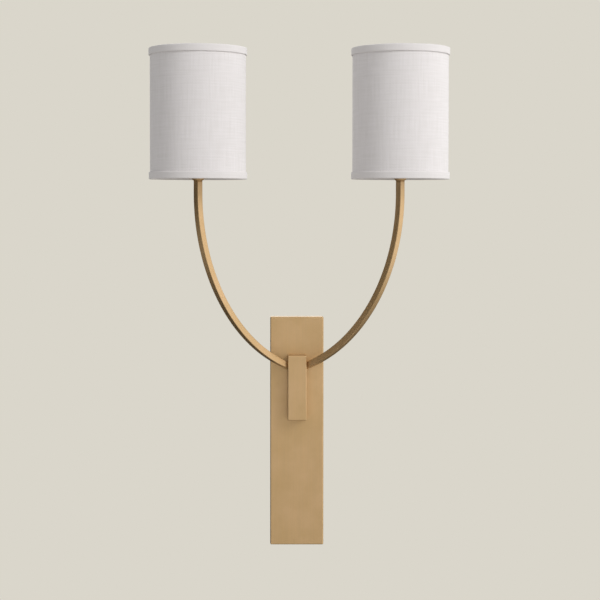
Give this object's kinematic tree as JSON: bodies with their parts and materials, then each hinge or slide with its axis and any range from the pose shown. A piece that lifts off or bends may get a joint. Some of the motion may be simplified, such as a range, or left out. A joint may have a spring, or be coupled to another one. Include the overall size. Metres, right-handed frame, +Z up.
{
  "type": "double arm wall sconce",
  "caption": "Wall light with drum shades on slender square arms that curve up and forward from a block on a long narrow backplate.",
  "frame": {"origin": "middle of the backplate on the wall plane, midway between the two junction box slots", "axes": "+Z up, +Y into the wall, so the light stands out towards -Y; +X to the right as seen from the room"},
  "size_m": [0.3108, 0.167, 0.5387],
  "materials": {
    "satin_gold": "satin",
    "zinc_steel": "zinc plated",
    "white_linen": "woven linen on a stiff backing",
    "linen_trim": "folded linen tape",
    "ring_wire": "white powder coat",
    "phenolic": "moulded",
    "contact_brass": "bare",
    "nickel": "nickel plated",
    "opal_glass": "opal",
    "filament": "coated",
    "lead_sleeve": "matt",
    "terminal_plastic": "moulded",
    "ground_green": "dyed"
  },
  "bodies": {
    "fixture": {"backplate": "satin_gold", "mounting_strap": "zinc_steel", "edge_screws": "satin_gold", "ground_screw": "ground_green", "terminal_block": "terminal_plastic", "terminal_screws": "contact_brass", "terminal_fixing_screw": "zinc_steel", "arm_block": "satin_gold", "block_screws": "zinc_steel", "arm_left": "satin_gold", "nipple_left": "satin_gold", "socket_cup_left": "satin_gold", "locknut_left": "zinc_steel", "lampholder_left": "phenolic", "screw_shell_left": "contact_brass", "centre_contact_left": "contact_brass", "lamp_lead_left": "lead_sleeve", "arm_right": "satin_gold", "nipple_right": "satin_gold", "socket_cup_right": "satin_gold", "locknut_right": "zinc_steel", "lampholder_right": "phenolic", "screw_shell_right": "contact_brass", "centre_contact_right": "contact_brass", "lamp_lead_right": "lead_sleeve"},
    "shade_left": {"shade_carrier_left": "ring_wire", "top_wire_ring_left": "ring_wire", "shade_cover_left": "white_linen", "shade_trim_top_left": "linen_trim", "shade_trim_bottom_left": "linen_trim"},
    "ring_left": {"retaining_ring_left": "phenolic"},
    "bulb_left": {"bulb_glass_left": "opal_glass", "bulb_cap_left": "nickel", "bulb_contact_left": "contact_brass", "bulb_filament_left": "filament"},
    "shade_right": {"shade_carrier_right": "ring_wire", "top_wire_ring_right": "ring_wire", "shade_cover_right": "white_linen", "shade_trim_top_right": "linen_trim", "shade_trim_bottom_right": "linen_trim"},
    "ring_right": {"retaining_ring_right": "phenolic"},
    "bulb_right": {"bulb_glass_right": "opal_glass", "bulb_cap_right": "nickel", "bulb_contact_right": "contact_brass", "bulb_filament_right": "filament"}
  },
  "joints": [
    {"name": "shade_turn_left", "type": "hinge", "parent": "fixture", "child": "shade_left", "pos_m": [-0.1046, -0.1162, 0.30647], "axis": [0, 0, 1], "continuous": true},
    {"name": "ring_turn_left", "type": "hinge", "parent": "fixture", "child": "ring_left", "pos_m": [-0.1046, -0.1162, 0.30647], "axis": [0, 0, 1], "continuous": true},
    {"name": "bulb_turn_left", "type": "hinge", "parent": "fixture", "child": "bulb_left", "pos_m": [-0.1046, -0.1162, 0.30647], "axis": [0, 0, 1], "continuous": true},
    {"name": "shade_turn_right", "type": "hinge", "parent": "fixture", "child": "shade_right", "pos_m": [0.1046, -0.1162, 0.30647], "axis": [0, 0, 1], "continuous": true},
    {"name": "ring_turn_right", "type": "hinge", "parent": "fixture", "child": "ring_right", "pos_m": [0.1046, -0.1162, 0.30647], "axis": [0, 0, 1], "continuous": true},
    {"name": "bulb_turn_right", "type": "hinge", "parent": "fixture", "child": "bulb_right", "pos_m": [0.1046, -0.1162, 0.30647], "axis": [0, 0, 1], "continuous": true}
  ]
}
